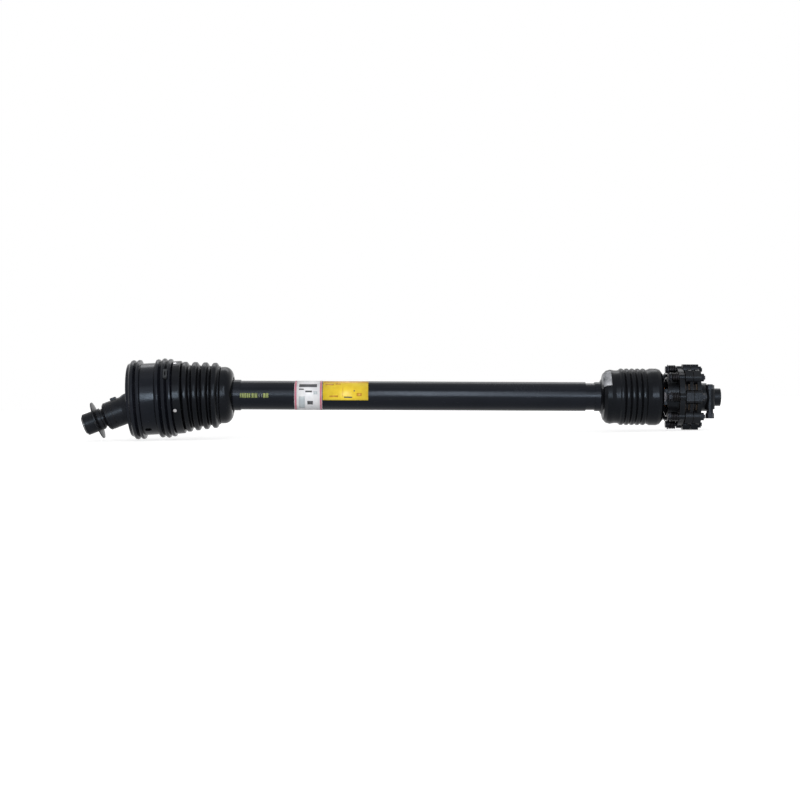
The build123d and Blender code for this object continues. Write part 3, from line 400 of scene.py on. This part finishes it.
drum_joint = joints["drum_spin"]
drum_centre = Vector(drum_joint["pos_m"])
drum_axis = Vector(drum_joint["axis"]).normalized()
drum_tilt = math.atan2(drum_axis.z, drum_axis.x)
bellows_front = drum_centre + drum_axis * (drum_tail_end - bellows_overlap)
bellows_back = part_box("large_bellows")[1].x
bellows_length = bellows_back - bellows_front.x
tail_start = bellows_length - bellows_tail
fold_length = (tail_start - bellows_cuff) / bellows_folds


def ease(share):
    """A smooth step from 0 to 1."""
    share = min(1.0, max(0.0, share))
    return share * share * (3 - 2 * share)


def bellows_radius(along):
    """Outer radius of the bellows at a length from its front end."""
    if along < bellows_cuff:
        return bellows_cuff_radius
    if along < tail_start:
        fold, place = divmod((along - bellows_cuff) / fold_length, 1)
        fall = (bellows_first_ridge - bellows_last_ridge) * fold / (bellows_folds - 1)
        ridge = bellows_first_ridge - fall
        if fold == 0 and place < bellows_cuff_step:
            return ridge - bellows_fold_depth * ease(place / bellows_cuff_step)
        drop = ease((abs(2 * place - 1) - bellows_crest_share) / bellows_flank_share)
        return ridge - bellows_ridge_drop - (bellows_fold_depth - bellows_ridge_drop) * drop
    past = along - tail_start
    if past < bellows_shoulder:
        low = bellows_shoulder_radius - bellows_shoulder_drop
        return low + bellows_shoulder_drop * ease(2 * past / bellows_shoulder)
    turn = min(1.0, (past - bellows_shoulder) / (bellows_tail - bellows_shoulder))
    rise = bellows_shoulder_radius - bellows_end_radius
    return bellows_end_radius + rise * math.sqrt(1 - turn * turn)


def bellows_loop(along):
    """One loop of the bellows at a length from its front end."""
    left = 1 - along / bellows_length
    centre = Vector((bellows_front.x + along, 0, bellows_front.z * left ** bellows_bend_power))
    lean = ease((along - bellows_cuff) / bellows_lean_start)
    tilt = drum_tilt + (bellows_lean * left ** 2 - drum_tilt) * lean
    turn = Matrix.Rotation(-tilt, 3, "Y")
    radius = bellows_radius(along)
    return [
        centre + turn @ Vector((0, radius * math.cos(angle), radius * math.sin(angle)))
        for angle in turns(bellows_points)
    ]


def bellows_half(name, start, end, steps):
    """The bellows between two lengths from its front end."""
    places = [start + (end - start) * step / steps for step in range(steps + 1)]
    loops = [bellows_loop(place) for place in places]
    piece = new_piece(name, net(loops, closed=True), soft_plastic)
    thicken(piece, bellows_wall, offset=1)
    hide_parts("large_bellows")
    return piece


meeting = bellows_cuff + 2 * fold_length
front_half = bellows_half("bellows_front", 0, meeting, front_steps)
rear_half = bellows_half("bellows_rear", meeting, bellows_length, rear_steps)
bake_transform(front_half)
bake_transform(rear_half)


# The spring under the pull collar, copied from the CAD node onto the tractor yoke

cad_spring = nodes["collar_spring"]
coil = link(bpy.data.objects.new("collar_coil", cad_spring.data.copy()))
coil.matrix_world = cad_spring.matrix_world.copy()
bpy.context.view_layer.update()
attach(coil, "tractor_yoke")
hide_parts("collar_spring")
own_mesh(coil)


# Copper-coloured seals on the four arms of the clutch-side cross

seal_inner, seal_outer = 0.0086, 0.0133
seal_start, seal_end = 0.0205, 0.0239
seal_points = 48
cross_arms = 4


def seal(name, turn):
    """A seal ring round one arm, turned about the shaft's axis."""
    corners = [(seal_inner, seal_start), (seal_outer, seal_start), (seal_outer, seal_end),
               (seal_inner, seal_end), (seal_inner, seal_start)]
    spin = Matrix.Rotation(turn, 3, "X")
    centre = Vector(joints["clutch_yaw"]["pos_m"])
    rows = [
        [
            centre + spin @ Vector((radius * math.cos(angle), radius * math.sin(angle), height))
            for angle in turns(seal_points)
        ]
        for radius, height in corners
    ]
    piece = new_piece(name, net(rows, closed=True), seal_copper, "clutch_cross")


for number, turn in enumerate(turns(cross_arms)):
    seal(f"cross_seal_{number}", turn)


# Stickers and print on the outer guard tube

white = printed("sticker_white", (0.74, 0.73, 0.74), (0.60, 0.60, 0.63))
red = printed("sticker_red", (0.52, 0.16, 0.20), (0.40, 0.12, 0.19))
yellow = printed("sticker_yellow", (0.76, 0.56, 0.03), (0.66, 0.44, 0.02))
amber = printed("sticker_amber", (0.55, 0.27, 0.02), (0.46, 0.22, 0.02))
ink = printed("sticker_ink", (0.05, 0.05, 0.055), (0.10, 0.10, 0.11))
pale_grey = printed("sticker_grey", (0.48, 0.52, 0.54), (0.40, 0.44, 0.47))
stencil = printed("stencil", (0.26, 0.30, 0.10), (0.10, 0.12, 0.04), rough=0.5)
faded_grey = printed("faded_grey", (0.16, 0.17, 0.17), (0.08, 0.09, 0.09), rough=0.5)
orange = printed("sticker_orange", (0.72, 0.42, 0.03), (0.62, 0.34, 0.02))

label_lift = 0.00025
label_thickness = 0.00015
degrees_per_face = 4


def patch(name, start, end, low, high, material, layer=0):
    """A thin patch on the tube, between two places along it and two angles up from the near side."""
    radius = tube_radius + label_lift + layer * label_thickness
    steps = max(2, int(abs(high - low) / degrees_per_face))
    angles = [math.radians(low + (high - low) * step / steps) for step in range(steps + 1)]
    rows = [
        [(x, -radius * math.cos(angle), radius * math.sin(angle)) for angle in angles]
        for x in (start, end)
    ]
    piece = new_piece(name, net(rows, closed=False), material, "outer_guard")
    thicken(piece, label_thickness, offset=0)


# The white sticker, with a red stripe inside each end. Angles are in degrees, up from the near side
white_start, white_end = photo_x(295.0), photo_x(322.7)
white_low, white_high = -100.0, 100.0
stripe_margin = 0.0008
stripe_width = 0.0048
stripe_inset = 4
stripe_low, stripe_high = white_low + stripe_inset, white_high - stripe_inset
left_stripe = white_start + stripe_margin
right_stripe = white_end - stripe_margin
patch("white_label", white_start, white_end, white_low, white_high, white)
patch("white_label_left", left_stripe, left_stripe + stripe_width, stripe_low, stripe_high,
      red, layer=1)
patch("white_label_right", right_stripe - stripe_width, right_stripe, stripe_low, stripe_high,
      red, layer=1)

# The yellow sticker, with an orange band at its top
yellow_start, yellow_end = photo_x(323.3), photo_x(368.4)
yellow_low, yellow_high = photo_angle(400.5), 78.0
orange_low = 58
patch("yellow_label", yellow_start, yellow_end, yellow_low, yellow_high, yellow)
patch("yellow_label_top", yellow_start, yellow_end, orange_low, yellow_high, orange,
      layer=1)

# Neutral fields on the stickers: (start pixel, end pixel, low angle, high angle, print)
fields = {
    "white_field": [
        (299.8, 317.5, 34, 50, ink), (306.0, 312.5, 12, 19, ink), (308.0, 313.5, -38, -22, ink),
        (299.6, 304.5, 22, 27, ink), (299.6, 305.5, -58, -4, pale_grey),
        (314.0, 318.0, 4, 16, pale_grey),
    ],
    "yellow_field": [
        (326.0, 334.0, 44, 52, amber), (336.0, 341.0, 48, 55, amber),
        (330.0, 338.5, -6, 0, amber), (344.5, 352.5, -9, -4, ink),
        (343.0, 343.4, -4, 34, amber), (354.0, 355.2, 16, 22, ink),
        (357.0, 362.0, -2, 10, amber),
    ],
}
for kind, places in fields.items():
    for number, (start, end, low, high, material) in enumerate(places):
        patch(f"{kind}_{number}", photo_x(start), photo_x(end), low, high, material, layer=1)

# A row of plain marks near the bellows: (start pixel, end pixel)
tube_marks = [(240.8, 242.5), (242.9, 245.0), (245.3, 247.3), (247.6, 249.6), (249.9, 251.4),
              (252.6, 254.9), (255.3, 258.4), (264.0, 266.5), (266.8, 269.4)]
mark_low, mark_high = photo_angle(398.4), photo_angle(393.8)
for number, (start, end) in enumerate(tube_marks):
    patch(f"tube_mark_{number}", photo_x(start), photo_x(end), mark_low, mark_high, stencil)

tube_rings = [259.7, 262.3]
ring_pixels = 0.9
ring_low, ring_high = photo_angle(398), photo_angle(394.4)
for number, start in enumerate(tube_rings):
    patch(f"tube_ring_{number}", photo_x(start), photo_x(start + ring_pixels), ring_low,
          ring_high, faded_grey)


# Camera

view_x = photo_x(image_size / 2)
view_z = photo_z(image_size / 2)
field_width = image_size * metres_per_pixel
camera_data = bpy.data.cameras.new("camera")
camera_data.angle = 2 * math.atan(field_width / 2 / camera_distance)
camera_data.clip_start = 0.05
camera_data.clip_end = 100
camera = link(bpy.data.objects.new("camera", camera_data))
camera.location = (view_x, -camera_distance, view_z)
camera.rotation_euler = Matrix.Rotation(math.radians(90), 3, "X").to_euler()
camera.rotation_euler.rotate_axis("Z", camera_roll)
bpy.context.scene.camera = camera


# Light

def softbox(name, place, width, height, radiance, tint):
    """A rectangular light that faces the shaft, with the given brightness of its surface."""
    data = bpy.data.lights.new(name, "AREA")
    data.shape = "RECTANGLE"
    data.size = width
    data.size_y = height
    data.energy = radiance * math.pi * width * height
    data.color = tint
    light = link(bpy.data.objects.new(name, data))
    light.location = place
    direction = Vector((view_x, 0, 0)) - light.location
    light.rotation_euler = direction.to_track_quat("-Z", "Y").to_euler()
    light.visible_camera = False


# Softboxes: (name, offset along the shaft, y, z, width, height, radiance, tint)
softboxes = [
    ("wide_box", 0, -4.9, 2.2, 4.6, 2.6, 1.4, (1, 0.98, 0.95)),
    ("drum_box", -1.25, -4.9, 0.5, 0.6, 1.7, 24.0, (0.93, 0.98, 1)),
    ("tube_box", 0.15, -4.9, 1.6, 0.6, 3.0, 17.0, (0.97, 0.98, 1)),
    ("cone_box", 1.25, -4.9, 0.55, 0.6, 1.3, 17.0, (0.93, 0.96, 1)),
    ("top_box", -0.3, -1.2, 3.6, 3.0, 1.0, 0.3, (1, 0.95, 0.88)),
    ("back_box", 0, 3.4, 3.8, 4.0, 1.6, 2.2, (1, 1, 1)),
]
for name, offset, y, z, width, height, radiance, tint in softboxes:
    softbox(name, (view_x + offset, y, z), width, height, radiance, tint)


def seen_directly(tree):
    """1 on camera, glossy and transmission rays, and 0 on the rays that carry light."""
    ray = tree.nodes.new("ShaderNodeLightPath")
    value = ray.outputs["Is Camera Ray"]
    for kind in ("Is Glossy Ray", "Is Transmission Ray"):
        value = combine(tree, "MAXIMUM", value, ray.outputs[kind])
    return value


# A world that looks white and lights the shaft faintly
ambient_strength = 0.25
world = bpy.data.worlds.new("studio")
bpy.context.scene.world = world
world.use_nodes = True
world_tree = world.node_tree
background = world_tree.nodes["Background"]
background.inputs["Color"].default_value = (1, 1, 1, 1)
brightness = spread(world_tree, seen_directly(world_tree), ambient_strength, 1.0, start=0, end=1)
join(world_tree, brightness, background.inputs["Strength"])


# A white floor under the drum and the clutch, which keeps a soft shadow near the shaft

def lowest(names):
    """The node that reaches lowest, as its middle along the shaft and its bottom."""
    box = min((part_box(name) for name in names), key=lambda corners: corners[0].z)
    return (box[0].x + box[1].x) / 2, box[0].z


floor_gap = 0.001
floor_size = 60
floor_roughness = 0.8
floor_dark = (0.6, 0.6, 0.6)
floor_pale = (0.63, 0.63, 0.63)
near_lift, far_lift = 0.67, 1.0
lift_start, lift_end = 1.2, 5.0

drum_x, drum_low = lowest(["guard_drum"])
clutch_x, clutch_low = lowest(["back_plate", "separator_plate"])
slope = math.atan2(clutch_low - drum_low, clutch_x - drum_x)
bpy.ops.mesh.primitive_plane_add(size=floor_size)
floor = bpy.context.object
floor.name = "floor"
floor.location = (drum_x, 0, drum_low - floor_gap)
floor.rotation_euler = (0, -slope, 0)

floor_material, floor_tree, floor_shader = surface("floor", specular=0.1)
floor_shader.inputs["Roughness"].default_value = floor_roughness
floor_shader.inputs["Emission Color"].default_value = (1, 1, 1, 1)
floor_place = coordinates(floor_tree)
floor_colour = between(floor_tree, noise(floor_tree, floor_place, scale=3), floor_dark, floor_pale)
join(floor_tree, floor_colour, floor_shader.inputs["Base Color"])
reach = floor_tree.nodes.new("ShaderNodeVectorMath")
reach.operation = "LENGTH"
join(floor_tree, floor_place, reach.inputs[0])
full_lift = spread(floor_tree, reach.outputs["Value"], near_lift, far_lift, lift_start, lift_end)
lift = combine(floor_tree, "MULTIPLY", seen_directly(floor_tree), full_lift)
join(floor_tree, lift, floor_shader.inputs["Emission Strength"])
floor.data.materials.append(floor_material)

bpy.context.scene.view_settings.view_transform = "Standard"
